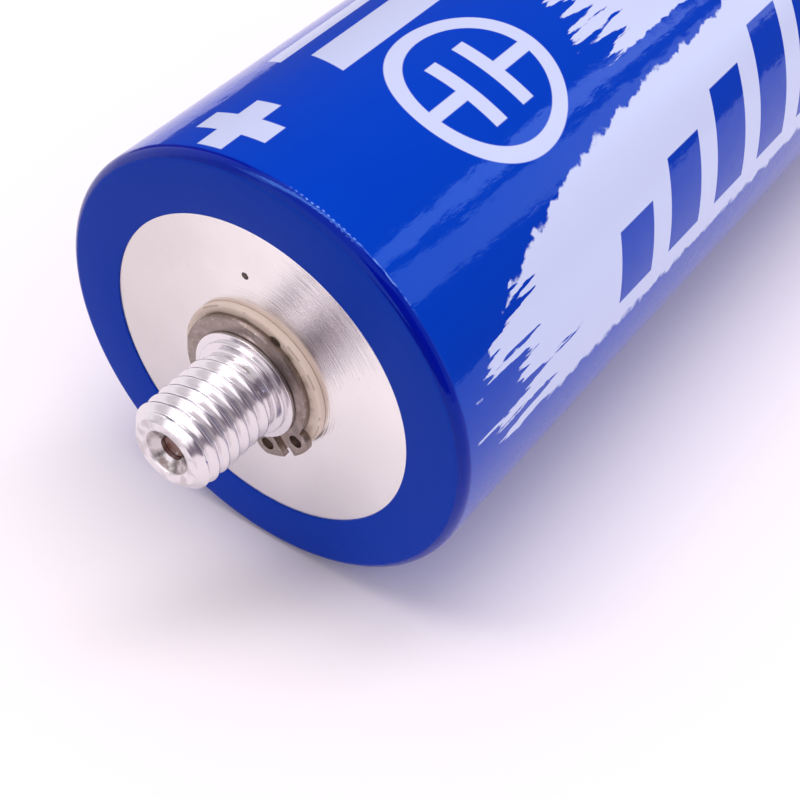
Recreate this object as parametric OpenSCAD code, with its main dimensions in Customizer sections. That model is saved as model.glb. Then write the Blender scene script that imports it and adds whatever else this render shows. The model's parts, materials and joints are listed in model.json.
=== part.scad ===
// Large threaded-terminal supercapacitor cell, lying on its side.
// The cell's axis runs along X at the height of its own radius. The insulated
// positive terminal points to -X, and the negative stud on the can's base to +X.
//
// Every piece is drawn on a local axis and then laid down by lay(). Along that
// axis 0 is the outer face of the cover, depth into the cell is positive, and
// the positive stud stands on the negative side.

/* [Cell body] */
// Outside diameter over the sleeve
cell_d = 60.7; // [48:0.1:80]
// Length of the body over both folded sleeve ends, without the studs
body_len = 138; // [80:1:200]

/* [Sleeve] */
// Thickness of the shrunk sleeve
sleeve_wall = 0.2; // [0.1:0.05:0.4]
// Width of the sleeve's fold on each end face
lip_width = 8.1; // [3:0.1:10]
// Outside rounding where the sleeve folds over each rim
rim_round = 1.5; // [0.8:0.1:2]

/* [Can and cover] */
// Wall of the can along its side
can_wall = 1.2; // [0.8:0.1:2]
// Wall of the can's mouth, beside the cover
mouth_wall = 0.8; // [0.5:0.1:0.8]
// Thickness of the can's base
base_t = 3.2; // [2:0.1:6]
// Thickness of the cover at its rim, which seats on the step in the can
cover_rim_t = 3; // [2:0.1:5]
// Further thickness of the cover inside that step
cover_plug_t = 2; // [1.5:0.1:4]
// Radius of the small round pit in the cover, as a place from the axis
pit_place_r = 15.1; // [13:0.1:18]
// Diameter of that pit
pit_d = 1; // [0.5:0.1:2]
// Depth of that pit
pit_depth = 0.6; // [0.3:0.1:1.5]
// Turn of that pit round the axis, from straight up towards the front
pit_turn = -2; // [-180:1:180]

/* [Positive terminal] */
// Thread diameter of the positive stud
pos_thread_d = 12; // [8:1:20]
// Length of each stud from its seat to its tip
stud_len = 13.8; // [10:0.1:25]
// Height of the positive seat above the cover
seat_h = 2.6; // [2.3:0.1:5]
// Width of the ring-shaped seat that a bus bar bears on, with its collar
seat_w = 1.5; // [1.2:0.1:3]
// Step from the thread out to the centring collar
collar_step = 0.55; // [0.3:0.05:0.8]
// Height of the centring collar
collar_h = 0.6; // [0.4:0.1:1]
// Depth of the relief between collar and thread, below the thread's crests
relief_depth = 0.6; // [0.3:0.1:1.2]
// Length of that relief
relief_len = 1; // [0.6:0.1:2]
// Radial size of the lead-in cone at each stud's tip
tip_chamfer_r = 1.45; // [0.8:0.05:2]
// Length of that cone
tip_chamfer_len = 1.25; // [0.8:0.05:2]
// Diameter of the centre countersink in each tip
countersink_d = 6.7; // [4:0.1:7]
// Included angle of that countersink
countersink_angle = 120; // [90:5:140]
// Diameter of the filling hole down the positive terminal
fill_hole_d = 3.2; // [1.5:0.1:3.6]
// Step from the post out to the terminal's inner flange
flange_step = 6.5; // [5:0.1:9]
// Thickness of the inner flange
flange_t = 3; // [2:0.1:5]
// Diameter of the spigot that enters the collector
spigot_d = 16; // [10:0.1:20]

/* [Retaining ring] */
// Thickness of the ring
ring_t = 1; // [0.8:0.1:1.5]
// Depth of its groove in the post
groove_depth = 0.35; // [0.2:0.05:0.8]
// Radial width opposite the gap
ring_wide = 2.25; // [1.8:0.05:3]
// Radial width beside the lugs
ring_narrow = 1.6; // [1.2:0.05:2]
// Width of the gap between the lugs
ring_gap = 1.9; // [1:0.1:3]
// Distance from the groove's floor out to the plier holes
lug_reach = 2.03; // [1.8:0.01:3]
// Diameter of the plier holes
lug_hole_d = 1.8; // [1.2:0.1:2]
// Radius of each lug's rounded end
lug_round = 1.8; // [1.5:0.1:2.2]
// How much the lugs' common outer arc trims off those rounded ends
lug_trim = 0.1; // [0.05:0.05:0.3]
// Half of the angle between the two plier holes
lug_half_angle = 17.4; // [15:0.1:22]
// Turn of the gap round the axis, from straight up towards the front
ring_turn = 146; // [-180:1:180]

/* [Insulators and seal] */
// Thickness of the bushing's flange on the cover
bushing_flange_t = 1; // [0.6:0.1:1.5]
// Step from the bushing's tube out to its flange
bushing_flange_step = 1.4; // [0.8:0.1:3]
// Wall of the bushing's tube
bushing_wall = 1.5; // [1:0.1:2.5]
// Width of the mould's key recess beside the ring
key_w = 1.7; // [1:0.1:3]
// Reach of that recess from the axis, measured out from the post
key_reach = 2.25; // [1.5:0.05:2.3]
// Depth of that recess
key_depth = 0.6; // [0.3:0.1:0.8]
// Turn of that recess round the axis, from straight up towards the front
key_turn = 27; // [-180:1:180]
// Section of the terminal's O-ring
seal_d = 1.9; // [1.5:0.1:3]
// Width of the inner bushing outside the O-ring, as far as the flange's edge
inner_bushing_w = 4.8; // [3:0.1:6]
// Thickness of the inner bushing under the cover
inner_bushing_t = 1.5; // [1:0.1:1.8]
// Wall of the insulating cup round the positive end of the core
cup_wall = 0.8; // [0.5:0.1:1.5]
// Thickness of that cup's flat ring under the cover
cup_floor_t = 1; // [0.6:0.1:2]
// Overlap of that cup with the core
cup_overlap = 7; // [4:0.5:15]

/* [Core and collectors] */
// Diameter of the hole down the middle of the wound core
core_bore_d = 8; // [5:0.5:12]
// Thickness of the wrap round the core
wrap_t = 0.2; // [0.1:0.05:0.5]
// Bare length of core left at each end of the wrap
wrap_margin = 9; // [8:0.5:20]
// Thickness of each collector plate
collector_t = 1.5; // [1:0.1:3]
// Bare rim of core outside each collector plate
collector_margin = 1.2; // [0.5:0.1:3]
// Number of welded beads in each collector plate
bead_count = 4; // [3:1:6]
// Width of each bead and of each slot between beads
bead_w = 2.4; // [1.5:0.1:3]

/* [Negative terminal] */
// Thread diameter of the negative stud
neg_thread_d = 16; // [10:1:24]
// Step from that thread out to the edge of the base's boss
boss_step = 3.5; // [2:0.1:6]
// Radius of the fillet where the boss meets the base
boss_fillet = 0.8; // [0.3:0.1:1.5]
// Height of the pad inside the base that carries the collector
pad_h = 1; // [0.5:0.1:2]
// Radius of that pad
pad_r = 12; // [8:0.5:16]

/* [Hidden] */
$fn = 96;

slip = 0.05;       // clearance of pieces that slide together
loose = 0.1;       // clearance of pieces dropped in past each other
edge = 0.2;        // small broken edges
overcut = 1;       // how far cutting shapes run past what they cut

// Radii, from the outside in
cell_r = cell_d / 2;
can_r = cell_r - sleeve_wall;
can_round = rim_round - sleeve_wall;
mouth_r = can_r - mouth_wall;
bore_r = can_r - can_wall;
lip_r = cell_r - lip_width;

// Radii of the terminal stack, from the thread outwards
pos_thread_r = pos_thread_d / 2;
post_r = pos_thread_r + seat_w;
groove_r = post_r - groove_depth;
tube_in_r = post_r + slip;
tube_r = tube_in_r + bushing_wall;
flange_face_r = tube_r + bushing_flange_step;
cover_hole_r = tube_r + slip;
seal_mean_r = cover_hole_r + seal_d / 4;
seal_chamber_r = seal_mean_r + seal_d / 2 + loose;
inner_flange_r = post_r + flange_step;
inner_bushing_r = seal_chamber_r + inner_bushing_w;
fill_hole_r = fill_hole_d / 2;
neg_thread_r = neg_thread_d / 2;
boss_r = neg_thread_r + boss_step;

// Radii of the core and what wraps it
cup_r = bore_r - loose;
core_r = cup_r - cup_wall - loose - wrap_t;
collector_r = core_r - collector_margin;

// Places along the axis, from the cover's outer face inwards
cover_t = cover_rim_t + cover_plug_t;
ring_front = bushing_flange_t + slip + ring_t;
seal_floor = cover_t + inner_bushing_t - seal_d;
flange_top = cover_t + inner_bushing_t;
flange_under = flange_top + flange_t;
core_start = flange_under + collector_t;
can_len = body_len - 2 * sleeve_wall;
base_inside = can_len - base_t;
pad_face = base_inside - pad_h;
core_end = pad_face - collector_t;
pos_tip = -seat_h - stud_len;
neg_tip = can_len + seat_h + stud_len;
overall_middle = (pos_tip + neg_tip) / 2;

// The countersink's depth follows from its angle and the hole it runs into
countersink_depth = (countersink_d / 2 - fill_hole_r) / tan(countersink_angle / 2);

// Lays a piece's own axis along X, at the height where the sleeve touches Z = 0
module lay() {
    translate([-overall_middle, 0, cell_r]) rotate([0, 90, 0]) children();
}

// Turns what is drawn along local +X round the axis: 0 is straight up, and
// positive turns go over the front
module turn_to(angle) {
    rotate([0, 0, 180 + angle]) children();
}

// Half-section of a band: radii from inside to outside, and its two ends
module band(inner, outer, from, to) {
    translate([inner, from]) square([outer - inner, to - from]);
}

// Half-section of a solid bar with both outer corners rounded
module rounded_bar(r, from, to, round) {
    band(0, r - round, from, to);
    band(0, r, from + round, to - round);
    for (place = [from + round, to - round])
        translate([r - round, place]) circle(round);
}

// Half-section of a triangle that breaks an outer corner: `way` is 1 where the
// piece goes on towards greater depth, -1 where it goes on towards the tip
module broken_corner(r, place, across, along, way) {
    polygon([[r - across, place - way * overcut],
             [r + overcut, place - way * overcut],
             [r + overcut, place + way * along],
             [r, place + way * along],
             [r - across, place]]);
}

// Half-section of a threaded stud at its crest size, from its seat to its tip.
// `way` is -1 for the positive stud and 1 for the negative one.
module stud_section(thread_r, seat, way) {
    collar_end = seat + way * collar_h;
    relief_end = collar_end + way * relief_len;
    tip = seat + way * stud_len;
    difference() {
        union() {
            band(0, thread_r + collar_step, min(seat, collar_end), max(seat, collar_end));
            band(0, thread_r - relief_depth, min(collar_end, relief_end), max(collar_end, relief_end));
            band(0, thread_r, min(relief_end, tip), max(relief_end, tip));
        }
        broken_corner(thread_r, tip, tip_chamfer_r, tip_chamfer_len, -way);
        broken_corner(thread_r + collar_step, collar_end, edge, edge, -way);
    }
}

// Half-section of the centre countersink and the hole it runs into
module countersink_section(tip, way, hole_end) {
    floor_place = tip - way * countersink_depth;
    polygon([[0, tip + way * overcut], [countersink_d / 2, tip + way * overcut],
             [countersink_d / 2, tip], [fill_hole_r, floor_place], [0, floor_place]]);
    band(0, fill_hole_r, min(floor_place, hole_end), max(floor_place, hole_end));
}

// Printed shrink sleeve, folded over both rims onto the end faces
module sleeve() {
    color([0, 0.23, 0.78]) lay() rotate_extrude() difference() {
        rounded_bar(cell_r, -sleeve_wall, can_len + sleeve_wall, rim_round);
        rounded_bar(can_r, 0, can_len, can_round);
        band(0, lip_r, -sleeve_wall - overcut, can_len + sleeve_wall + overcut);
    }
}

// Impact-extruded can, one piece with its base, boss and negative stud
module can() {
    seat = can_len + seat_h;
    color([0.85, 0.86, 0.87]) lay() rotate_extrude() difference() {
        union() {
            rounded_bar(can_r, 0, can_len, can_round);
            difference() {
                band(0, boss_r, base_inside, seat);
                broken_corner(boss_r, seat, edge, edge, -1);
            }
            stud_section(neg_thread_r, seat, 1);
            difference() {
                band(boss_r, boss_r + boss_fillet, can_len, can_len + boss_fillet);
                translate([boss_r + boss_fillet, can_len + boss_fillet]) circle(boss_fillet);
            }
        }
        difference() {
            band(0, bore_r, -overcut, base_inside);
            band(0, pad_r, pad_face, base_inside);
            band(0, core_bore_d / 2 - slip, core_end, base_inside);
        }
        band(0, mouth_r, -overcut, cover_rim_t);
        countersink_section(neg_tip, 1, neg_tip - 2 * countersink_depth);
    }
}

// Stepped cover: its rim seats in the can's mouth, and its edge carries on the
// rounding of the can's end, so that the sleeve folds smoothly over both
module cover() {
    color([0.88, 0.87, 0.88]) lay() difference() {
        rotate_extrude() difference() {
            intersection() {
                union() {
                    band(0, mouth_r - slip, 0, cover_rim_t);
                    band(0, bore_r - slip, 0, cover_t);
                }
                rounded_bar(can_r, 0, can_len, can_round);
            }
            band(0, cover_hole_r, -overcut, cover_t + overcut);
            band(0, seal_chamber_r, seal_floor, cover_t + overcut);
        }
        turn_to(pit_turn) translate([pit_place_r, 0, -overcut])
            cylinder(h = pit_depth + overcut, d = pit_d, $fn = 32);
    }
}

// Turned terminal: stud, collar, seat, grooved post, inner flange and spigot
module positive_terminal() {
    color([0.9, 0.9, 0.91]) lay() rotate_extrude() difference() {
        union() {
            stud_section(pos_thread_r, -seat_h, -1);
            difference() {
                band(0, post_r, -seat_h, flange_top);
                broken_corner(post_r, -seat_h, edge, edge, 1);
            }
            band(0, inner_flange_r, flange_top, flange_under);
            band(0, spigot_d / 2, flange_under, core_start);
        }
        band(groove_r, post_r + overcut, -ring_front - slip, -bushing_flange_t + slip);
        broken_corner(inner_flange_r, flange_under, edge, edge, -1);
        countersink_section(pos_tip, -1, core_start + overcut);
    }
}

// Outline of the retaining ring: a band that tapers towards two lugs with
// plier holes, drawn with its gap on +X
module ring_outline() {
    inner_r = groove_r + slip;
    body_r = inner_r + (ring_wide + ring_narrow) / 2;
    off_centre = (ring_wide - ring_narrow) / 2;
    hole_place_r = groove_r + lug_reach;
    lug_r = hole_place_r + lug_round - lug_trim;
    far = 2 * lug_r;
    difference() {
        union() {
            translate([-off_centre, 0]) circle(body_r);
            intersection() {
                circle(lug_r);
                union() {
                    polygon([[0, 0], far * [cos(lug_half_angle), -sin(lug_half_angle)],
                             far * [cos(lug_half_angle), sin(lug_half_angle)]]);
                    for (side = [-1, 1])
                        rotate(side * lug_half_angle) translate([hole_place_r, 0])
                            circle(lug_round);
                }
            }
        }
        circle(inner_r);
        translate([0, -ring_gap / 2]) square([far, ring_gap]);
        for (side = [-1, 1])
            rotate(side * lug_half_angle) translate([hole_place_r, 0]) circle(d = lug_hole_d);
    }
}

// Spring-steel ring in the post's groove, which holds the stack together
module retaining_ring() {
    color([0.55, 0.53, 0.52]) lay() turn_to(ring_turn)
        translate([0, 0, -ring_front]) linear_extrude(ring_t) ring_outline();
}

// Ivory bushing: its tube lines the cover's hole and its flange carries the ring
module outer_bushing() {
    key_far = tube_in_r + key_reach - key_w / 2;
    color([0.86, 0.82, 0.75]) lay() difference() {
        rotate_extrude() union() {
            band(tube_in_r, tube_r, -bushing_flange_t, seal_floor - slip);
            difference() {
                band(tube_in_r, flange_face_r, -bushing_flange_t, 0);
                broken_corner(flange_face_r, -bushing_flange_t, edge, edge, 1);
            }
        }
        turn_to(key_turn) translate([0, 0, -bushing_flange_t - overcut]) {
            translate([0, -key_w / 2, 0]) cube([key_far, key_w, key_depth + overcut]);
            translate([key_far, 0, 0]) cylinder(h = key_depth + overcut, d = key_w);
        }
    }
}

// Inner bushing: keeps the terminal's flange off the cover and centres it
module inner_bushing() {
    color([0.8, 0.8, 0.76]) lay() rotate_extrude() difference() {
        band(seal_chamber_r, inner_bushing_r, cover_t, flange_under);
        band(seal_chamber_r - overcut, inner_flange_r + slip, flange_top, flange_under + overcut);
        broken_corner(inner_bushing_r, flange_under, edge, edge, -1);
    }
}

// O-ring squeezed between the terminal's flange and the cover
module terminal_seal() {
    color([0.13, 0.13, 0.13]) lay() rotate_extrude()
        translate([seal_mean_r, seal_floor + seal_d / 2]) circle(d = seal_d, $fn = 48);
}

// Stopper pressed into the filling hole, a little below the countersink
module fill_plug() {
    plug_top = pos_tip + countersink_depth + 0.5;
    plug_len = 5;
    plug_r = fill_hole_r - slip / 2;
    color([0.36, 0.22, 0.18]) lay() rotate_extrude() difference() {
        band(0, plug_r, plug_top, plug_top + plug_len);
        broken_corner(plug_r, plug_top, edge, edge, 1);
        broken_corner(plug_r, plug_top + plug_len, edge, edge, -1);
    }
}

// Insulating cup between the live end of the core, the can and the cover
module positive_insulator() {
    color([0.92, 0.92, 0.9]) lay() rotate_extrude() union() {
        band(inner_bushing_r + loose, cup_r, cover_t, cover_t + cup_floor_t);
        band(cup_r - cup_wall, cup_r, cover_t, core_start + cup_overlap);
    }
}

// Plate welded to the bare foil edge at one end of the core, with slots that
// let electrolyte through and pressed beads that take the weld
module collector_plate(hole_r) {
    inner = max(hole_r, boss_r) + bead_w;
    outer = collector_r - bead_w;
    bead_depth = collector_t / 3;
    difference() {
        cylinder(h = collector_t, r = collector_r);
        translate([0, 0, -overcut]) cylinder(h = collector_t + 2 * overcut, r = hole_r);
        for (turn = [0 : bead_count - 1]) {
            rotate(turn * 360 / bead_count) translate([inner, -bead_w / 2, -overcut])
                cube([outer - inner, bead_w, bead_depth + overcut]);
            rotate((turn + 0.5) * 360 / bead_count) translate([0, 0, -overcut]) {
                translate([inner, -bead_w / 2, 0])
                    cube([outer - inner, bead_w, collector_t + 2 * overcut]);
                for (place = [inner, outer])
                    translate([place, 0, 0])
                        cylinder(h = collector_t + 2 * overcut, d = bead_w, $fn = 32);
            }
        }
    }
}

// Collector between the core and the positive terminal
module positive_collector() {
    color([0.8, 0.81, 0.83]) lay() translate([0, 0, flange_under])
        collector_plate(spigot_d / 2 + slip);
}

// Wound electrode roll: its turns are one solid round the hole of the mandrel
module wound_core() {
    color([0.2, 0.2, 0.21]) lay() rotate_extrude()
        band(core_bore_d / 2, core_r, core_start, core_end);
}

// Film wrap that holds the roll closed
module core_wrap() {
    color([0.85, 0.6, 0.25]) lay() rotate_extrude()
        band(core_r, core_r + wrap_t, core_start + wrap_margin, core_end - wrap_margin);
}

// Collector between the core and the pad inside the can's base
module negative_collector() {
    color([0.8, 0.81, 0.83]) lay() translate([0, 0, pad_face]) mirror([0, 0, 1])
        collector_plate(core_bore_d / 2);
}

sleeve();
can();
cover();
positive_terminal();
retaining_ring();
outer_bushing();
inner_bushing();
terminal_seal();
fill_plug();
positive_insulator();
positive_collector();
wound_core();
core_wrap();
negative_collector();
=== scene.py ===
# %% [markdown]
# # A large capacitor cell, lying on a table
# The cell is an aluminium can in a printed shrink sleeve. One end has an
# insulated terminal: a threaded stud, held in the cover by a retaining ring.
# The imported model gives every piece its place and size. This lesson gives the
# pieces their fine form and their finishes, then lights them.

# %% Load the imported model
import json
import math

import bmesh
import bpy
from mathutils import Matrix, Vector


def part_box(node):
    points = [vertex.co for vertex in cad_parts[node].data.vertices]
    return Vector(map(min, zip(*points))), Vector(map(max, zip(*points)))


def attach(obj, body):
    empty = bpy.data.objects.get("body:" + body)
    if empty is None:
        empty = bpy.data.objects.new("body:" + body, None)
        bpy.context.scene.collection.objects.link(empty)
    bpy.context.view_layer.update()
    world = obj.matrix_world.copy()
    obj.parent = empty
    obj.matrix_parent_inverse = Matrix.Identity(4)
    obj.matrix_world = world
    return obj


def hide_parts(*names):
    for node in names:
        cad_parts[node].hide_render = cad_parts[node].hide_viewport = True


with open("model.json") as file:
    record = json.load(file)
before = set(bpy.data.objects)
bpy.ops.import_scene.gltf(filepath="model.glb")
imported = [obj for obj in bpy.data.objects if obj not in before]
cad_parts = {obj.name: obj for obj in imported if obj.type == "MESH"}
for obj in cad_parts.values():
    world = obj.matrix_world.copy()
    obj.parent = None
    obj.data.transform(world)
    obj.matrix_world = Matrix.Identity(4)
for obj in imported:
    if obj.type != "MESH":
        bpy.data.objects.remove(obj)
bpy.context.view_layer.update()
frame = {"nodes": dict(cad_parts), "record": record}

MM = 0.001
nodes = frame["nodes"]
print("nodes:", ", ".join(sorted(nodes)))

# %% [markdown]
# ## Sizes that come from the model
# Everything on this object is round about one line, so two numbers place any
# point of a section: its depth behind the cover's outer face, and its radius.
# Both are kept in millimetres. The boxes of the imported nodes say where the
# cover's face, the tips of the studs and the sleeve are.

# %% Places along the axis and radii, in millimetres
FACE_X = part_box("cover")[0].x
AXIS_Z = (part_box("sleeve")[0].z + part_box("sleeve")[1].z) / 2


def ends_of(name):
    """Depths of a node's two ends, from the cover's outer face."""
    return [(corner.x - FACE_X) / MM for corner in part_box(name)]


def radius_of(name):
    """Outside radius of a node."""
    low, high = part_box(name)
    return (high.z - low.z) / 2 / MM


SLEEVE_START, SLEEVE_END = ends_of("sleeve")
SLEEVE_WALL = -SLEEVE_START
CELL_R = radius_of("sleeve")
CAN_R = CELL_R - SLEEVE_WALL
CAN_LEN = SLEEVE_END - SLEEVE_WALL
POS_TIP, TERMINAL_END = ends_of("positive_terminal")
NEG_TIP = ends_of("can")[1]
print(f"sleeve radius {CELL_R:.2f}, can {CAN_LEN:.1f} long, tips at {POS_TIP:.1f} and {NEG_TIP:.1f}")

# %% [markdown]
# ## Node trees, written as Python
# A tree of nodes is easier to read as a formula. The class below wraps one
# socket, and its operators add Math nodes, so `1 - mask * 2` builds two nodes.
# The second class wraps a whole tree and adds every other kind of node. The
# same two classes serve the shaders and the Geometry Nodes.

# %% A socket that can be calculated with
class Value:
    """One output socket of a tree: arithmetic on it adds Math nodes."""

    def __init__(self, tree, socket):
        self.tree = tree
        self.socket = socket

    def __add__(self, other):
        return self.tree.maths("ADD", self, other)

    def __sub__(self, other):
        return self.tree.maths("SUBTRACT", self, other)

    def __mul__(self, other):
        return self.tree.maths("MULTIPLY", self, other)

    def __truediv__(self, other):
        return self.tree.maths("DIVIDE", self, other)

    def __rsub__(self, other):
        return self.tree.maths("SUBTRACT", other, self)

    __radd__ = __add__
    __rmul__ = __mul__


# %% A tree that nodes are added to
class Tree:
    """A node tree being written."""

    def __init__(self, group):
        self.group = group

    def node(self, kind, settings=(), inputs=(), output=0):
        """Adds a node, with its settings first and then its sockets."""
        made = self.group.nodes.new(kind)
        for name, setting in dict(settings).items():
            setattr(made, name, setting)
        for name, given in dict(inputs).items():
            if isinstance(given, Value):
                self.group.links.new(given.socket, made.inputs[name])
            else:
                made.inputs[name].default_value = given
        return Value(self, made.outputs[output]) if made.outputs else made

    def maths(self, operation, *given):
        return self.node("ShaderNodeMath", {"operation": operation}, enumerate(given))

    def vectors(self, operation, *given, output=0):
        return self.node("ShaderNodeVectorMath", {"operation": operation}, enumerate(given), output)

    def scaled(self, vector, amount):
        return self.node("ShaderNodeVectorMath", {"operation": "SCALE"}, {0: vector, "Scale": amount})

    def parts(self, vector):
        """The X, Y and Z of a vector."""
        split = self.node("ShaderNodeSeparateXYZ", inputs={"Vector": vector})
        return [Value(self, socket) for socket in split.socket.node.outputs]

    def joined(self, x, y, z):
        return self.node("ShaderNodeCombineXYZ", inputs={"X": x, "Y": y, "Z": z})

    def least(self, a, b):
        return self.maths("MINIMUM", a, b)

    def most(self, a, b):
        return self.maths("MAXIMUM", a, b)

    def size_of(self, a):
        return self.maths("ABSOLUTE", a)

    def hypot(self, a, b):
        return self.maths("SQRT", a * a + b * b)

    def fade(self, value, start, end):
        """0 before start, 1 after end, and a smooth rise between them."""
        return self.node("ShaderNodeMapRange", {"interpolation_type": "SMOOTHSTEP"},
                         {"Value": value, "From Min": start, "From Max": end})

    def blend(self, mask, colour, other):
        """`colour` where the mask is 0, `other` where it is 1."""
        given = {0: mask, 6: colour, 7: other}
        return self.node("ShaderNodeMix", {"data_type": "RGBA"}, given, output=2)


# %% [markdown]
# ## A lathe made of Geometry Nodes
# The can, the terminal, the sleeve and the plug are all turned or drawn round
# one axis. Spinning a section in edit mode would make them too, but a thread
# can't be spun: its section climbs by one pitch in each turn. So the lathe is a
# node tree. It lays a grid round the axis, looks up the section's point for
# each row of the grid, and lets the rows of a thread climb. Each climbing row
# stays on one place of the thread's profile, so crests and roots stay crisp.

# %% The lathe tree
LATHE_INPUTS = {"Segments": ("Int", 128), "Pitch": ("Float", 0.0), "Tip": ("Float", 0.0),
                "Relief": ("Float", 0.0), "Tip radius": ("Float", 0.0), "Tip slope": ("Float", 0.0),
                "Relief radius": ("Float", 0.0), "Face": ("Float", 0.0), "Axis height": ("Float", 0.0),
                "Finish": ("Material", None)}
FULL_TURN = 2 * math.pi
RUN_OUT_SLOPE = 0.8
WELD = 1e-6


def lathe_tree():
    """Turns a row of section points (depth, 0, radius) round the X axis."""
    group = bpy.data.node_groups.new("lathe", "GeometryNodeTree")
    group.interface.new_socket("Section", in_out="INPUT", socket_type="NodeSocketGeometry")
    for name, (kind, start) in LATHE_INPUTS.items():
        socket = group.interface.new_socket(name, in_out="INPUT", socket_type="NodeSocket" + kind)
        if start is not None:
            socket.default_value = start
    group.interface.new_socket("Turned", in_out="OUTPUT", socket_type="NodeSocketGeometry")
    tree = Tree(group)
    given = {socket.name: Value(tree, socket) for socket in group.nodes.new("NodeGroupInput").outputs}

    rows = tree.node("GeometryNodeAttributeDomainSize", inputs={"Geometry": given["Section"]})
    grid = tree.node("GeometryNodeMeshGrid", inputs={
        "Size X": 1.0, "Size Y": 1.0, "Vertices X": rows, "Vertices Y": given["Segments"] + 1})
    place = tree.node("GeometryNodeInputPosition")
    across, round_it, _ = tree.parts(place)
    row = tree.maths("ROUND", (across + 0.5) * (rows - 1))
    turn = (round_it + 0.5) * FULL_TURN

    point = tree.node("GeometryNodeSampleIndex", {"data_type": "FLOAT_VECTOR"},
                      {"Geometry": given["Section"], "Value": place, "Index": row})
    climbs = tree.node("GeometryNodeInputNamedAttribute", {"data_type": "FLOAT"}, {"Name": "climbs"})
    climb = tree.node("GeometryNodeSampleIndex", {"data_type": "FLOAT"},
                      {"Geometry": given["Section"], "Value": climbs, "Index": row})
    along, _, radius = tree.parts(point)

    risen = along + climb * given["Pitch"] * turn / FULL_TURN
    thread_low = tree.least(given["Tip"], given["Relief"])
    thread_high = tree.most(given["Tip"], given["Relief"])
    held = tree.least(tree.most(risen, thread_low), thread_high)
    from_tip = tree.size_of(held - given["Tip"])
    from_relief = tree.size_of(held - given["Relief"])
    cut = tree.least(radius, given["Tip radius"] + from_tip * given["Tip slope"])
    cut = tree.least(cut, given["Relief radius"] + from_relief)
    cut = tree.most(cut, given["Relief radius"] - from_relief * RUN_OUT_SLOPE)
    along = along + climb * (held - along)
    radius = radius + climb * (cut - radius)

    deep = given["Face"] + along * MM
    sideways = radius * tree.maths("SINE", turn) * -MM
    upwards = given["Axis height"] + radius * tree.maths("COSINE", turn) * MM
    turned = tree.node("GeometryNodeSetPosition", inputs={
        "Geometry": grid, "Position": tree.joined(deep, sideways, upwards)})
    turned = tree.node("GeometryNodeMergeByDistance", inputs={"Geometry": turned, "Distance": WELD})
    turned = tree.node("GeometryNodeSetShadeSmooth", inputs={"Geometry": turned})
    turned = tree.node("GeometryNodeRealizeInstances", inputs={"Geometry": turned})
    turned = tree.node("GeometryNodeSetMaterial", inputs={
        "Geometry": turned, "Material": given["Finish"]})
    tree.node("NodeGroupOutput", inputs={"Turned": turned})
    return group


LATHE = lathe_tree()
print("the lathe tree has", len(LATHE.nodes), "nodes")

# %% [markdown]
# The next cell runs the tree. The section goes in as loose points, each with a
# `climbs` attribute that is 1 on a thread. The result is made a plain mesh,
# because the modifier has done its work. A turned shape can come out with its
# faces inwards, and the sign of its volume tells which way they point.

# %% Run the lathe
SHARP_FROM = math.radians(32)


def face_outwards(mesh):
    """Turns a closed mesh's faces outwards, and counts its open edges."""
    shape = bmesh.new()
    shape.from_mesh(mesh)
    bmesh.ops.dissolve_degenerate(shape, dist=WELD / 10, edges=shape.edges)
    if shape.calc_volume(signed=True) < 0:
        bmesh.ops.reverse_faces(shape, faces=shape.faces)
    open_edges = sum(1 for edge in shape.edges if not edge.is_manifold)
    shape.to_mesh(mesh)
    shape.free()
    return open_edges


def show(name, mesh):
    """Puts a finished mesh into the scene as a piece."""
    piece = bpy.data.objects.new(name, mesh)
    bpy.context.scene.collection.objects.link(piece)
    return piece


def turn_piece(name, section, finish, segments, **thread):
    """A piece turned from (depth, radius, climbs) points in millimetres."""
    mesh = bpy.data.meshes.new(name)
    mesh.from_pydata([(depth, 0, radius) for depth, radius, _ in section], [], [])
    climbs = mesh.attributes.new("climbs", "FLOAT", "POINT")
    climbs.data.foreach_set("value", [point[2] for point in section])
    rough = show(name + "_section", mesh)
    lathe = rough.modifiers.new("lathe", "NODES")
    lathe.node_group = LATHE
    settings = {"Segments": segments, "Face": FACE_X, "Axis height": AXIS_Z, "Finish": finish}
    settings |= {key.replace("_", " ").capitalize(): size for key, size in thread.items()}
    for socket in LATHE.interface.items_tree:
        if socket.name in settings:
            lathe[socket.identifier] = settings[socket.name]

    ready = rough.evaluated_get(bpy.context.evaluated_depsgraph_get())
    turned = bpy.data.meshes.new_from_object(ready)
    bpy.data.objects.remove(rough)
    holes = face_outwards(turned)
    turned.set_sharp_from_angle(angle=SHARP_FROM)
    turned.name = name
    print(f"{name}: {len(turned.polygons)} faces, {holes} open edges")
    return show(name, turned)


# %% [markdown]
# ## Sections
# No real corner is perfectly sharp: a tiny rounding catches the light and tells
# the eye that the edge is metal or film. `rounded` takes a section's corners
# and turns each into an arc. `thread_rows` writes the rows of a thread: soft
# aluminium is cut shallow, with flat flanks and narrow crests and roots.

# %% Rounded corners
ARC_STEPS = 12
EDGE_STEPS = 3
LARGE_ROUND = 0.5
MOST_OF_A_SIDE = 0.45


def arc_rows(centre, start, end):
    """Rows along an arc between two spokes from its centre."""
    steps = ARC_STEPS if start.length > LARGE_ROUND else EDGE_STEPS
    sweep = start.angle_signed(end)
    spokes = [start.copy() for _ in range(steps + 1)]
    for step, spoke in enumerate(spokes):
        angle = -sweep * step / steps
        spoke.xy = (start.x * math.cos(angle) - start.y * math.sin(angle),
                    start.x * math.sin(angle) + start.y * math.cos(angle))
    return [(*(centre + spoke), 0) for spoke in spokes]


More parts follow.
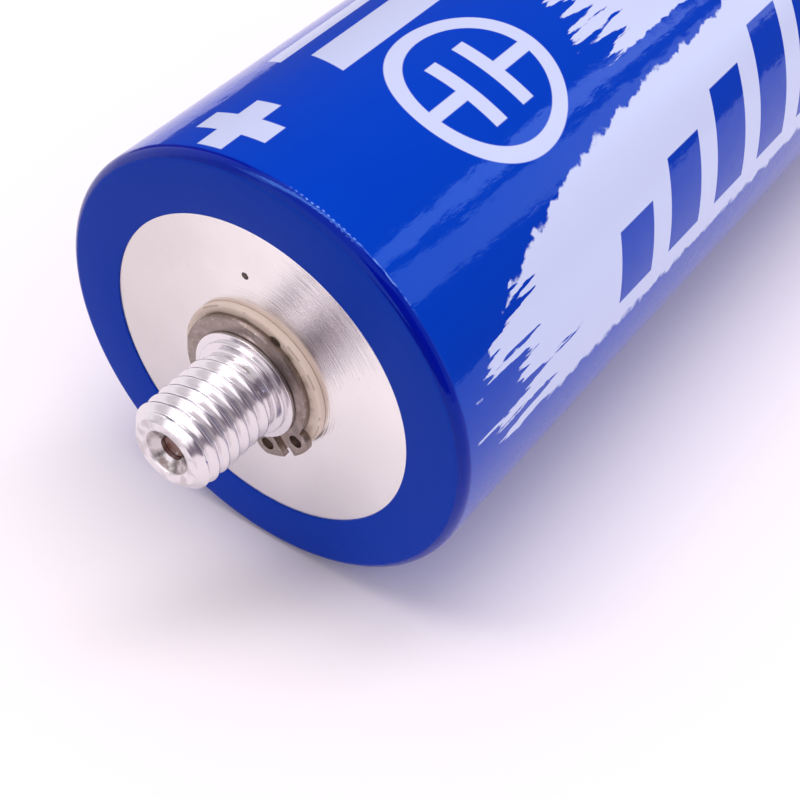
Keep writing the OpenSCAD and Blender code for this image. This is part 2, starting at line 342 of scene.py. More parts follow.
def rounded(corners, ease):
    """Section rows from (depth, radius) or (depth, radius, own rounding)."""
    spots = [Vector(corner[:2]) for corner in corners]
    rows = [(*spots[0], 0)]
    for index in range(1, len(corners) - 1):
        spot = spots[index]
        wanted = corners[index][2] if len(corners[index]) > 2 else ease
        back = spots[index - 1] - spot
        ahead = spots[index + 1] - spot
        half = back.angle(ahead) / 2
        reach = min(wanted / math.tan(half), MOST_OF_A_SIDE * min(back.length, ahead.length))
        back.normalize()
        ahead.normalize()
        centre = spot + (back + ahead).normalized() * reach / math.cos(half)
        rows += arc_rows(centre, spot + back * reach - centre, spot + ahead * reach - centre)
    return rows + [(*spots[-1], 0)]


# %% Thread rows
THREAD_DEPTH = 0.5
SPARE_TURNS = 2
# One pitch of the thread's profile: part of the pitch, and part of the depth cut
THREAD_PROFILE = ((0, 0), (0.045, 0.004), (0.075, 0.04), (0.16, 0.25), (0.25, 0.475), (0.34, 0.70),
                  (0.43, 0.925), (0.465, 0.985), (0.5, 1), (0.535, 0.985), (0.57, 0.925), (0.66, 0.70),
                  (0.75, 0.475), (0.84, 0.25), (0.925, 0.04), (0.955, 0.004))


def thread_rows(start, end, crest_r, pitch, root_at):
    """Rows of a thread from start to end, with a root at depth `root_at`."""
    rows = []
    first = math.floor((start - root_at) / pitch) - SPARE_TURNS
    turns = math.ceil((end - start) / pitch) + 2 * SPARE_TURNS + 1
    for turn in range(first, first + turns):
        for part, cut in THREAD_PROFILE:
            depth = root_at + (turn + part - 0.5) * pitch
            rows.append((depth, crest_r - cut * THREAD_DEPTH * pitch, 1))
    return [row for row in rows if start - pitch - WELD < row[0] < end + WELD]


# %% [markdown]
# ## Finishes
# Each finish is a small tree over one principled shader. All of them start from
# the same three numbers, because everything here was turned, drawn or shrunk
# round the axis: how deep a point lies, how far out, and how far round.

# %% Helpers that every finish uses
EDGE = 0.1


def within(tree, distance, reach):
    """1 where the distance is less than the reach, with a fine soft edge."""
    return 1 - tree.fade(distance, reach - EDGE, reach + EDGE)


def shade(red, green, blue):
    """A colour as a screen writes it, 0 to 255, as the shaders' linear colour."""
    linear = []
    for part in (red, green, blue):
        part /= 255
        linear.append(part / 12.92 if part <= 0.04045 else ((part + 0.055) / 1.055) ** 2.4)
    return (*linear, 1)


class Finish(Tree):
    """A material being written, with the point's place round the axis."""

    def __init__(self, name):
        self.material = bpy.data.materials.new(name)
        self.material.use_nodes = True
        super().__init__(self.material.node_tree)
        self.group.nodes.clear()
        self.place = self.node("ShaderNodeTexCoord", output="Object")
        x, y, z = self.parts(self.place)
        self.out = y / -MM
        self.up = (z - AXIS_Z) / MM
        self.depth = (x - FACE_X) / MM
        self.radius = self.hypot(self.out, self.up)
        self.turn = self.maths("ARCTAN2", self.out, self.up)

    def noise(self, size, detail=2.0, where=None):
        """Smooth noise about 0.5, with features of `size` millimetres.

        `where` is a place in the noise, in millimetres. Where only two of its
        numbers vary, the third just picks another slice of the noise.
        """
        vector = self.place if where is None else where
        scale = 1 / (size * MM) if where is None else 1 / size
        return self.node("ShaderNodeTexNoise", inputs={"Vector": vector, "Scale": scale, "Detail": detail})

    def principled(self, **sockets):
        """A principled shader, with its sockets named as in Python."""
        inputs = {name.replace("_", " ").title().replace("Ior", "IOR"): given
                  for name, given in sockets.items()}
        return self.node("ShaderNodeBsdfPrincipled", inputs=inputs)

    def ended(self, shader):
        self.node("ShaderNodeOutputMaterial", inputs={"Surface": shader})
        return self.material

    def surface(self, **sockets):
        """Ends the tree in one principled shader."""
        return self.ended(self.principled(**sockets))

    def bumped(self, height):
        """A normal from a height in millimetres."""
        return self.node("ShaderNodeBump", inputs={"Height": height, "Distance": MM})

    def turned_normal(self, size, tilt):
        """A normal that fine turning marks tip to and fro across their grooves."""
        normal = self.node("ShaderNodeNewGeometry", output="Normal")
        round_it = self.vectors("NORMALIZE", self.joined(0.0, self.up * -1, self.out))
        across = self.vectors("CROSS_PRODUCT", normal, round_it)
        groove = self.noise(size, 1.0, self.joined(self.depth, self.radius, 0.0)) - 0.5
        tipped = self.vectors("ADD", normal, self.scaled(across, groove * tilt))
        return self.vectors("NORMALIZE", tipped)


# %% [markdown]
# ## Bare aluminium
# The can, the terminal and the cover are turned aluminium. Fine grooves run
# round the axis, so light spreads across them and not along them. An
# anisotropic shader gives that spread, but it is lost when a model is exported.
# Here a fine noise that changes only with depth and radius tips the normal, and
# the spread follows by itself.

# %% Turned aluminium
CLOUD_SIZE = 9.0
CLOUD_TONES = 12
CLOUD_HAZE = 0.08
SPECK_SIZE, SPECK_LIMITS, SPECK_SHARE = 0.5, (0.68, 0.76), 0.25
SPECK_TONE = shade(150, 140, 142)
# A brown-grey for darker places; over one side of the cover it is painted shade
DARKENING_TONE = shade(92, 72, 62)


def aluminium(name, tone, groove, tilt, roughness, darkening=None):
    """Turned aluminium with faint clouding and specks, and an optional darkening, which on the cover is
    partly painted shade.
    """
    metal = Finish(name)
    clouds = metal.noise(CLOUD_SIZE, 4.0)
    specks = metal.fade(metal.noise(SPECK_SIZE), *SPECK_LIMITS)
    colour = metal.blend(clouds, shade(*tone), shade(*[part - CLOUD_TONES for part in tone]))
    colour = metal.blend(specks * SPECK_SHARE, colour, SPECK_TONE)
    # The optional darkening; on the cover it includes painted shade
    if darkening:
        colour = metal.blend(darkening(metal), colour, DARKENING_TONE)
    uneven = roughness + (clouds - 0.5) * CLOUD_HAZE
    return metal.surface(base_color=colour, metallic=1.0, roughness=uneven,
                         normal=metal.turned_normal(groove, tilt))


# %% Where the aluminium is darker, with painted shade over one side of the cover
PLUG_FIT = 0.025
PLUG_R = radius_of("fill_plug")
FILL_HOLE_R = PLUG_R + PLUG_FIT
COUNTERSINK_R = 3.35
CLEAN_EDGE = 0.25
SINK_DARK_DEPTH = 1.2
SINK_DARK_SIZE, SINK_DARK_LIMITS = 2.2, (0.4, 0.6)
SINK_DARK_LEAST, SINK_DARK_MORE = 0.3, 0.55
FACE_DEPTH = 0.15
FACE_GRIME_SIZE, FACE_GRIME_LIMITS, FACE_GRIME = 1.7, (0.42, 0.62), 0.3


def in_the_countersink(metal):
    """Darker patches inside the tip's countersink, and a little grime on its face."""
    inside = within(metal, metal.radius, COUNTERSINK_R - CLEAN_EDGE)
    inside = inside * within(metal, metal.depth, POS_TIP + SINK_DARK_DEPTH)
    patches = metal.fade(metal.noise(SINK_DARK_SIZE, 3.0), *SINK_DARK_LIMITS)
    # The countersink's inside is coloured darker in patches
    sink_dark = inside * (patches * SINK_DARK_MORE + SINK_DARK_LEAST)
    face = within(metal, metal.depth, POS_TIP + FACE_DEPTH)
    face = face * metal.fade(metal.noise(FACE_GRIME_SIZE, 3.0), *FACE_GRIME_LIMITS)
    return metal.most(sink_dark, face * FACE_GRIME)


PIT_OUT = 15.1
PIT_TURN = math.radians(-2)
PIT_R = 0.45
PIT_DEPTHS = (0.02, 0.2)
PIT_DARKENING = 0.7
# Painted shade over one side of the cover
SIDE_SHADE_SIZE = 7.0
SIDE_SHADE_WANDER = 12.0
SIDE_SHADE_ENDS = (-16.0, 18.0)
SIDE_SHADE = 0.29


def pit_and_shaded_side(metal):
    """Darker in the cover's small round pit, and painted shade over one side."""
    away = metal.hypot(metal.up - PIT_OUT * math.cos(PIT_TURN), metal.out - PIT_OUT * math.sin(PIT_TURN))
    # The inside of the pit is coloured darker
    pit = within(metal, away, PIT_R + EDGE / 2) * metal.fade(metal.depth, *PIT_DEPTHS)
    # Painted shade: one side of the cover is painted darker
    side_shade = 1 - metal.fade(metal.out + metal.noise(SIDE_SHADE_SIZE, 3.0) * SIDE_SHADE_WANDER, *SIDE_SHADE_ENDS)
    return metal.most(pit * PIT_DARKENING, side_shade * SIDE_SHADE)


# %% The four aluminium finishes
CAN_METAL = aluminium("can_aluminium", tone=(226, 227, 229), groove=0.12, tilt=0.5, roughness=0.3)
TERMINAL_METAL = aluminium("terminal_aluminium", tone=(231, 226, 229), groove=0.08, tilt=0.3,
                           roughness=0.17, darkening=in_the_countersink)
COVER_METAL = aluminium("cover_aluminium", tone=(246, 242, 241), groove=0.09, tilt=0.85,
                        roughness=0.22, darkening=pit_and_shaded_side)
COLLECTOR_METAL = aluminium("collector_aluminium", tone=(214, 214, 216), groove=0.3, tilt=0.5,
                            roughness=0.42)
print("four aluminium finishes")

# %% [markdown]
# ## The printed sleeve
# Heat has shrunk a tube of blue film over the can. Its gloss and its ripples
# over the rims show that it is film and not paint. White ink was printed on it
# while it was flat, so the print is laid out here on the unrolled film: how far
# along, and how far round, both in millimetres. The marks are plain: a plus, a
# capacitor's symbol in a ring, two stripes, and a gauge on a brushed field.

# %% Signs on the film
PLUS_ALONG, PLUS_ROUND = 7.0, -5.88
PLUS_REACH = 5.2
PLUS_BAR = 1.8


def plus_mark(ink, along, round_it):
    """A plus sign beside the positive end."""
    ds = ink.size_of(along - PLUS_ALONG)
    du = ink.size_of(round_it - PLUS_ROUND)
    return ink.most(within(ink, ds, PLUS_REACH) * within(ink, du, PLUS_BAR),
                    within(ink, ds, PLUS_BAR) * within(ink, du, PLUS_REACH))


ROUNDEL_ALONG, ROUNDEL_ROUND = 31.5, 10.3
ROUNDEL_R = 10.4
LINE = 1.1
PLATE_AT, PLATE_REACH = 2.8, 5.5
LEAD_AT, LEAD_REACH, LEAD_LINE = 6.6, 2.8, 0.9


def roundel(ink, along, round_it):
    """The symbol of a capacitor, in a ring."""
    ds = ink.size_of(along - ROUNDEL_ALONG)
    du = ink.size_of(round_it - ROUNDEL_ROUND)
    ring = within(ink, ink.size_of(ink.hypot(ds, du) - ROUNDEL_R), LINE)
    plates = within(ink, ink.size_of(ds - PLATE_AT), LINE) * within(ink, du, PLATE_REACH)
    leads = within(ink, ink.size_of(ds - LEAD_AT), LEAD_REACH) * within(ink, du, LEAD_LINE)
    return ink.most(ring, ink.most(plates, leads))


# %% Stripes and a gauge on the film
# Each stripe's middle along and round the film, then half its length and width
STRIPES = ((38.0, -5.8, 17.0, 3.2), (32.0, -14.0, 14.0, 1.6))
STRIPE_SLANT = 0.3


def stripes(ink, along, round_it):
    """Two stripes with slanted ends."""
    drawn = []
    for middle, height, reach, width in STRIPES:
        band = within(ink, ink.size_of(round_it - height), width)
        drawn.append(band * within(ink, ink.size_of(along - middle + round_it * STRIPE_SLANT), reach))
    return ink.most(*drawn)


BARS = 5
BAR_STEP = 12.5
BAR_HALF = 4.0
BAR_SLANT = 0.25
BARS_FROM, BARS_FOOT = 34.0, 45.0
FIRST_HEIGHT, MORE_HEIGHT = 9.0, 3.0


def gauge(ink, along, round_it):
    """Five slanted bars that grow, left blue in the brushed field."""
    place = along + (round_it - BARS_FOOT) * BAR_SLANT - BARS_FROM
    number = ink.least(ink.most(ink.maths("FLOOR", place / BAR_STEP), 0.0), BARS - 1.0)
    across = ink.size_of(place - number * BAR_STEP - BAR_HALF)
    half = (FIRST_HEIGHT + number * MORE_HEIGHT) / 2
    return within(ink, across, BAR_HALF) * within(ink, ink.size_of(round_it - BARS_FOOT + half), half)


# %% The brushed field
BRISTLE, BRISTLE_STRETCH, BRISTLE_WANDER = 1.6, 0.12, 60.0
RAG = 2.4
RAGGED_TOP, RAGGED_FOOT, RAGGED_BLOCK = 4.0, 3.0, 1.5
TOP_SOFT, FIELD_SOFT, BLOCK_SOFT = 0.5, 1.2, 1.0
TOP_EDGE, TOP_FALL, FALL_START, FALL_REACH = 22.2, 9.6, 13.0, 17.6
FOOT_EDGE = (47.6, 48.4)
FIELD_START, BLOCK_START = 12.0, 52.0
BLOCK_MIDDLE, BLOCK_HALF = 12.5, 6.5


def brushed_field(ink, along, round_it):
    """White ink laid on as if by a dry brush, with ragged ends."""
    bristles = ink.noise(BRISTLE, 4.0, ink.joined(along * BRISTLE_STRETCH, round_it, 3.0)) - 0.5
    ragged = ink.noise(RAG, 3.0, ink.joined(along, round_it, 5.0)) - 0.5
    fall = ink.maths("EXPONENT", (FALL_START - along) / FALL_REACH) * TOP_FALL
    field = ink.fade(round_it - TOP_EDGE - fall + ragged * RAGGED_TOP, 0.0, TOP_SOFT)
    field = field * (1 - ink.fade(round_it + ragged * RAGGED_FOOT, *FOOT_EDGE))
    start = FIELD_START + bristles * BRISTLE_WANDER
    field = field * ink.fade(along, start, start + FIELD_SOFT)
    block = within(ink, ink.size_of(round_it - BLOCK_MIDDLE + ragged * RAGGED_BLOCK), BLOCK_HALF)
    start = BLOCK_START + bristles * (BRISTLE_WANDER / 2)
    return ink.most(field, block * ink.fade(along, start, start + BLOCK_SOFT))


# %% [markdown]
# Where the film bends over the rim, a paler blue paints the lamp's glint on it.
# On the upper part of the rim that is a row of fine dashes, and then a broken line; the same mask raises a
# fine crease.

# %% The crease on the fold, and its painted glint
# Where the painted glint and its crease lie on the fold
CREASE_FROM, CREASE_TO = (0.16, 0.28), (0.78, 0.86)
DASHES_END = (0.50, 0.54)
DASHES_PER_RADIAN, DASH_LIMITS = 256.0, (-0.1, 0.6)
CREASE_DEPTHS, CREASE_LINES, SECOND_LINE = (1.2, 0.85), (0.06, 0.02), 0.4
BREAK_SIZE, BREAK_LIMITS = 1.1, (0.3, 0.6)


def crease_and_painted_glint(film, shift):
    """A painted glint along the fold, dashes first and then a line, that also marks a crease."""
    here = film.fade(film.turn, *CREASE_FROM) * (1 - film.fade(film.turn, *CREASE_TO))
    dashed = 1 - film.fade(film.turn, *DASHES_END)
    wave = film.maths("SINE", film.turn * DASHES_PER_RADIAN)
    dashes = 1 - dashed * (1 - film.fade(wave, *DASH_LIMITS))
    line, second = [within(film, film.size_of(film.depth + shift - depth), reach)
                    for depth, reach in zip(CREASE_DEPTHS, CREASE_LINES)]
    lines = line + second * dashed * SECOND_LINE
    # Random patches that break up the painted glint's line
    patchy = film.fade(film.noise(BREAK_SIZE, 1.0), *BREAK_LIMITS)
    return here * dashes * lines * (dashed + (1 - dashed) * patchy)


# %% The film's colours, with painted shade and a painted highlight
SIDE_BLUE = (0.0, 0.046, 0.50, 1)
CLOUDED_BLUE = (0.0, 0.040, 0.46, 1)
# Painted shade: a deeper blue for the film's front side
FRONT_SHADE_BLUE = (0.0, 0.034, 0.41, 1)
# A deeper blue on the end faces: partly the denser shrunk film, partly painted shade
LIP_DENSER_SHADED_BLUE = (0.0, 0.038, 0.41, 1)
# Painted shade: the dark blue of the band on the fold over the rim
FOLD_SHADE_BLUE = (0.0, 0.001, 0.27, 1)
# Painted highlight: the paler blue of the glint along the fold
GLINT_BLUE = (0.30, 0.52, 1.0, 1)
INK_WHITE = (0.55, 0.595, 0.82, 1)
FILM_CLOUDS = 18.0
FRONT_FROM, FRONT_TO = (0.2, 1.1), (2.0, 3.0)
FOLD_ENDS, FOLD_WAVE, FOLD_WANDER, FOLD_SHADE_SHARE = (0.9, 1.3), 4.0, 0.25, 0.95
GLINT_SHARE = 0.7


def film_colour(film, rim, glint_and_crease, ink):
    """Blue with painted shade on the front and in the fold, a deeper blue on the end faces that is partly
    painted shade, a painted glint, and the print over it.
    """
    blue = film.blend(film.noise(FILM_CLOUDS, 3.0), SIDE_BLUE, CLOUDED_BLUE)
    # Painted shade: the front side of the film is painted a deeper blue
    front_shade = film.fade(film.turn, *FRONT_FROM) * (1 - film.fade(film.turn, *FRONT_TO))
    blue = film.blend(front_shade, blue, FRONT_SHADE_BLUE)
    # Painted shade: a dark band is painted on the fold over the rim
    wander = (film.noise(FOLD_WAVE, 1.0) - 0.5) * FOLD_WANDER
    fold_shade = rim * (1 - film.fade(film.depth + wander, *FOLD_ENDS))
    # The end faces get a deeper blue: denser film, and painted shade
    blue = film.blend(rim, LIP_DENSER_SHADED_BLUE, blue)
    blue = film.blend(fold_shade * FOLD_SHADE_SHARE, blue, FOLD_SHADE_BLUE)
    # Painted highlight: the glint along the fold in a paler blue
    blue = film.blend(glint_and_crease * GLINT_SHARE, blue, GLINT_BLUE)
    return film.blend(ink, blue, INK_WHITE)


# %% The printed film
INK_ENDS = (CELL_R - 0.6, CELL_R - 0.4)
GLOSS_ENDS = (CELL_R - 1.15, CELL_R - 0.9)
CREASE_WAVE, CREASE_WANDER = 1.8, 0.5
WAVES = ((14.0, 0.05), (3.0, 0.04))
PEEL, PEEL_HEIGHT = 1.3, 0.008
VEIN, VEIN_STRETCH, VEIN_HEIGHT = 1.0, 0.35, 0.02
CREASE_HEIGHT = 0.02
INK_HEIGHT = 0.004
FILM_IOR = 1.4
BLUE_GLOSS = (0.15, 0.45, 1.0, 1)
FILM_ROUGHNESS, INK_ROUGHNESS, LIP_ROUGHNESS = 0.07, 0.24, 0.45


def printed_film():
    """Glossy blue film with its white print, matt where it lies on the end faces."""
    film = Finish("printed_film")
    round_it = film.turn * CELL_R
    white = film.most(plus_mark(film, film.depth, round_it), roundel(film, film.depth, round_it))
    white = film.most(white, stripes(film, film.depth, round_it))
    brushed = brushed_field(film, film.depth, round_it) * (1 - gauge(film, film.depth, round_it))
    ink = film.most(white, brushed) * film.fade(film.radius, *INK_ENDS)
    rim = film.fade(film.radius, *GLOSS_ENDS)
    # This mask paints a highlight into the colour, and also raises a crease in the bump
    glint_and_crease = crease_and_painted_glint(film, (film.noise(CREASE_WAVE) - 0.5) * CREASE_WANDER)
    colour = film_colour(film, rim, glint_and_crease, ink)

    long_waves, short_waves = [film.noise(size, 1.0) * height for size, height in WAVES]
    veins = film.noise(VEIN, 3.0, film.joined(film.depth * VEIN_STRETCH, round_it, 11.0)) * VEIN_HEIGHT
    height = long_waves + short_waves + veins + film.noise(PEEL) * PEEL_HEIGHT
    normal = film.bumped(height + glint_and_crease * CREASE_HEIGHT + ink * INK_HEIGHT)
    roughness = FILM_ROUGHNESS + ink * (INK_ROUGHNESS - FILM_ROUGHNESS)
    gloss = film.principled(base_color=colour, roughness=roughness, ior=FILM_IOR,
                            specular_ior_level=0.8, specular_tint=BLUE_GLOSS, normal=normal)
    matt = film.principled(base_color=colour, roughness=LIP_ROUGHNESS, ior=FILM_IOR,
                           specular_ior_level=0.1, normal=normal)
    return film.ended(film.node("ShaderNodeMixShader", inputs={0: rim, 1: matt, 2: gloss}))


FILM = printed_film()
print("the film's tree has", len(FILM.node_tree.nodes), "nodes")

# %% [markdown]
# ## Steel, plastics and the core
# The small pieces each have their own finish, also those that are hidden inside
# the can. The ring is oiled spring steel. The bushings are a beige moulded
# plastic. The core is a roll of coated foil, so its ends show fine turns.

# %% Spring steel
STEEL_PALE = shade(170, 158, 152)
STEEL_DARK = shade(114, 98, 90)
STEEL_WORN = shade(206, 199, 195)
WORN_SIZE, WORN_LIMITS, WORN_SHARE = 0.5, (0.55, 0.75), 0.4


def spring_steel():
    """Dark oiled steel, brighter along its worn spots."""
    steel = Finish("spring_steel")
    clouds = steel.noise(1.6, 4.0)
    patchy = steel.fade(steel.noise(WORN_SIZE, 3.0), *WORN_LIMITS)
    colour = steel.blend(clouds, STEEL_PALE, STEEL_DARK)
    colour = steel.blend(patchy * WORN_SHARE, colour, STEEL_WORN)
    return steel.surface(base_color=colour, metallic=1.0, roughness=0.24 + clouds * 0.2,
                         normal=steel.turned_normal(size=0.3, tilt=0.5))


# %% Moulded plastics, rubber and resin
GRAIN_HEIGHT = 0.05
# Brown for grime, and for painted shade round the foot of the ring
PLASTIC_GRIME_AND_SHADE = shade(96, 66, 50)


def moulded(name, tone, other, roughness, grain, darkening=None):
    """A moulded or cast piece with faint clouding, a fine grain, and maybe a darkening of grime and painted
    shade.
    """
    plastic = Finish(name)
    clouds = plastic.noise(4.0, 3.0)
    colour = plastic.blend(clouds, shade(*tone), shade(*other))
    if darkening:
        # The optional darkening; on the bushing it includes painted shade
        colour = plastic.blend(darkening(plastic), colour, PLASTIC_GRIME_AND_SHADE)
    return plastic.surface(base_color=colour, roughness=roughness + (clouds - 0.5) * 0.2,
                           normal=plastic.bumped(plastic.noise(grain, 3.0) * grain * GRAIN_HEIGHT))


# %% Grime and painted shade on the bushing's flange
FLANGE_R = radius_of("outer_bushing")
RUN_SIZE, RUN_STRETCH = 2.2, 0.4
GRIME_IN, GRIME_LINE = 0.16, 0.04
EDGE_GRIME, EDGE_LIMITS = 0.8, (0.5, 0.56)
INNER_SHADE, INNER_LIMITS = 0.55, (0.42, 0.7)


def on_the_flange(plastic):
    """Brown grime in short runs along the flange's edge, and painted shade in patches round the ring."""
    unrolled = plastic.joined(plastic.turn * FLANGE_R, plastic.radius * RUN_STRETCH, 7.0)
    runs = plastic.noise(RUN_SIZE, 2.0, unrolled)
    edge = within(plastic, plastic.size_of(plastic.radius - (FLANGE_R - GRIME_IN)), GRIME_LINE)
    # Painted shade: patches of brown round the foot of the ring
    inner = 1 - plastic.fade(plastic.radius, FLANGE_R - 1.1, FLANGE_R - 0.5)
    edge = edge * plastic.fade(runs, *EDGE_LIMITS) * EDGE_GRIME
    return edge + inner * plastic.fade(runs, *INNER_LIMITS) * INNER_SHADE


# %% The wound core
FOIL_STEP, FOIL_RISE = 0.4, 0.03
FOIL_DARK = shade(58, 58, 62)
FOIL_PALE = shade(92, 92, 96)


def wound_foil():
    """Dark coated foil on edge, turn upon turn."""
    foil = Finish("wound_foil")
    spiral = foil.radius + foil.turn / FULL_TURN * FOIL_STEP
    turns = foil.maths("SINE", spiral * (FULL_TURN / FOIL_STEP))
    clouds = foil.noise(3.0, 4.0)
    colour = foil.blend(clouds, FOIL_DARK, FOIL_PALE)
    return foil.surface(base_color=colour, metallic=0.6, roughness=0.5 + clouds * 0.2,
                        normal=foil.bumped(turns * FOIL_RISE))


# %% The finishes of the small and hidden pieces
RING_STEEL = spring_steel()
BUSHING_PLASTIC = moulded("bushing_plastic", tone=(233, 215, 201), other=(222, 200, 184),
                          roughness=0.42, grain=0.5, darkening=on_the_flange)
INSULATOR_PLASTIC = moulded("insulator_plastic", tone=(230, 230, 226), other=(218, 218, 214),
                            roughness=0.45, grain=0.8)
SEAL_RUBBER = moulded("seal_rubber", tone=(38, 38, 40), other=(28, 28, 30), roughness=0.6, grain=0.4)
PLUG_RESIN = moulded("plug_resin", tone=(142, 92, 78), other=(84, 50, 42), roughness=0.22, grain=0.5)
WRAP_FILM = moulded("wrap_film", tone=(226, 224, 214), other=(212, 210, 200), roughness=0.3, grain=1.5)
CORE_FOIL = wound_foil()
print("seven more finishes")

# %% [markdown]
# ## The positive terminal
# One turned piece: stud, centring collar, seat, a post with the ring's groove,
# and the flange that clamps the seal from inside. The filling hole runs down
# its middle, so its section is a closed loop. The studs' mounts in the packed
# record say how thick the two threads are. The negative stud has the same tip,
# relief and collar, so the first cell holds what the two studs share.

# %% What both studs share
CUT_EDGE = 0.06
COUNTERSINK_DEPTH = (COUNTERSINK_R - FILL_HOLE_R) / math.tan(math.radians(60))
COUNTERSINK_ROUND = 0.25
TIP_CONE_R, TIP_CONE_LEN = 1.45, 1.25
THREAD_LEN = 12.2
RELIEF_LEN, RELIEF_DEPTH, RELIEF_ROUND = 1.0, 0.6, 0.3
COLLAR_LEN, COLLAR_STEP, COLLAR_ROUND = 0.6, 1.15, 0.15
STUD_SEGMENTS = 192


def stud_radius(mount_name):
    """Radius over a stud's thread, as its mount in the record gives it."""
    return next(mount["dims"]["r_mm"] for mount in frame["record"]["mounts"]
                if mount["name"] == mount_name)


def neck(relief, inwards, thread_r):
    """Corners of the relief behind a thread and of the collar, up to the seat."""
    collar = relief + inwards * RELIEF_LEN
    seat = collar + inwards * COLLAR_LEN
    neck_r = thread_r - RELIEF_DEPTH
    collar_r = neck_r + COLLAR_STEP
    return [(relief, neck_r), (collar, neck_r, RELIEF_ROUND),
            (collar, collar_r, COLLAR_ROUND), (seat, collar_r)]


def turn_with_stud(name, section, finish, thread_r, pitch, tip, relief):
    """Turns a section that holds a thread between its tip and its relief."""
    return turn_piece(name, section, finish, STUD_SEGMENTS, pitch=pitch, tip=tip, relief=relief,
                      tip_radius=thread_r - TIP_CONE_R, tip_slope=TIP_CONE_R / TIP_CONE_LEN,
                      relief_radius=thread_r - RELIEF_DEPTH)


# %% Turn the terminal
POS_THREAD_R = stud_radius("positive_stud")
POS_PITCH = 1.75
POS_RELIEF = POS_TIP + THREAD_LEN
POS_ROOT = POS_TIP + 1.12
POST_R = POS_THREAD_R + 1.5
GROOVE_FROM, GROOVE_TO, GROOVE_DEPTH = 0.5, 1.65, 0.35
FLANGE_STEP, FLANGE_START, FLANGE_END = 6.5, TERMINAL_END - 4.5, TERMINAL_END - 1.5
SPIGOT_R = 8.0


def positive_terminal():
    """The stud, its seat, its post and its inner flange."""
    hole_mouth = (POS_TIP + COUNTERSINK_DEPTH, FILL_HOLE_R)
    tip = rounded([hole_mouth, (POS_TIP, COUNTERSINK_R, COUNTERSINK_ROUND),
                   (POS_TIP, POS_THREAD_R - TIP_CONE_R)], CUT_EDGE)
    thread = thread_rows(POS_TIP, POS_RELIEF, POS_THREAD_R, POS_PITCH, POS_ROOT)
    collar = neck(POS_RELIEF, 1, POS_THREAD_R)
    seat = collar[-1][0]
    groove_start, groove_end = seat + GROOVE_FROM, seat + GROOVE_TO
    groove_r = POST_R - GROOVE_DEPTH
    flange_r = POST_R + FLANGE_STEP
    body = rounded(collar + [
        (seat, POST_R), (groove_start, POST_R), (groove_start, groove_r), (groove_end, groove_r),
        (groove_end, POST_R), (FLANGE_START, POST_R), (FLANGE_START, flange_r), (FLANGE_END, flange_r),
        (FLANGE_END, SPIGOT_R), (TERMINAL_END, SPIGOT_R), (TERMINAL_END, FILL_HOLE_R), hole_mouth], CUT_EDGE)
    return turn_with_stud("threaded_terminal", tip + thread + body, TERMINAL_METAL,
                          POS_THREAD_R, POS_PITCH, POS_TIP, POS_RELIEF)


terminal = positive_terminal()

# %% [markdown]
# ## The can, the sleeve and the plug
# The real can is struck from one slug of aluminium, and its base, its boss and
# the negative stud are turned afterwards, so here it is one section too. Its rim
# is a true arc, because the film bends over it. The sleeve is a closed skin that
# follows the can outside and lies on both end faces. The plug is a short pin in
# the filling hole.

# %% Turn the can
NEG_THREAD_R = stud_radius("negative_stud")
NEG_PITCH = 2.0
NEG_RELIEF = NEG_TIP - THREAD_LEN
NEG_ROOT = NEG_TIP - 1.4
CAN_ROUND = 1.3
MOUTH_R, MOUTH_DEPTH = CAN_R - 0.8, 3.0
BORE_R = CAN_R - 1.2
BASE_INSIDE = CAN_LEN - 3.2
BOSS_R, BOSS_EDGE, BOSS_FILLET = NEG_THREAD_R + 3.5, 0.2, 0.8
RECESS_R, RECESS_DEPTH = 12.0, 1.0
HOLLOW_R, HOLLOW_DEPTH = 3.95, 2.5


def can_outside():
    """From the bottom of the negative stud's hole to the mouth's rim."""
    hole_end, cone_end = NEG_TIP - 2 * COUNTERSINK_DEPTH, NEG_TIP - COUNTERSINK_DEPTH
    tip = rounded([(hole_end, 0), (hole_end, FILL_HOLE_R), (cone_end, FILL_HOLE_R),
                   (NEG_TIP, COUNTERSINK_R, COUNTERSINK_ROUND),
                   (NEG_TIP, NEG_THREAD_R - TIP_CONE_R)], CUT_EDGE)
    thread = thread_rows(NEG_RELIEF, NEG_TIP, NEG_THREAD_R, NEG_PITCH, NEG_ROOT)[::-1]
    collar = neck(NEG_RELIEF, -1, NEG_THREAD_R)
    wall = rounded(collar + [(collar[-1][0], BOSS_R, BOSS_EDGE), (CAN_LEN, BOSS_R, BOSS_FILLET),
                             (CAN_LEN, CAN_R, CAN_ROUND), (CAN_ROUND, CAN_R)], CUT_EDGE)
    return tip + thread + wall


def can_rim():
    """The rim's arc, down to where the mouth begins."""
    centre = Vector((CAN_ROUND, CAN_R - CAN_ROUND))
    lean = math.asin((MOUTH_R - centre.y) / CAN_ROUND)
    return arc_rows(centre, Vector((0, CAN_ROUND)),
                    Vector((-math.cos(lean), math.sin(lean))) * CAN_ROUND)


def can_inside(start):
    """From the rim, over the step in the mouth, to the middle of the base."""
    recess, hollow = BASE_INSIDE - RECESS_DEPTH, BASE_INSIDE - HOLLOW_DEPTH
    return rounded([start, (MOUTH_DEPTH, MOUTH_R), (MOUTH_DEPTH, BORE_R), (BASE_INSIDE, BORE_R),
                    (BASE_INSIDE, RECESS_R), (recess, RECESS_R), (recess, HOLLOW_R),
                    (hollow, HOLLOW_R), (hollow, 0)], CUT_EDGE)


rim = can_rim()
can = turn_with_stud("drawn_can", can_outside() + rim + can_inside(rim[-1][:2]), CAN_METAL,
                     NEG_THREAD_R, NEG_PITCH, NEG_TIP, NEG_RELIEF)

# %% Draw the sleeve over the can
LIP_R = CELL_R - 8.1
FILM_EDGE = 0.04
SLEEVE_SEGMENTS = 360


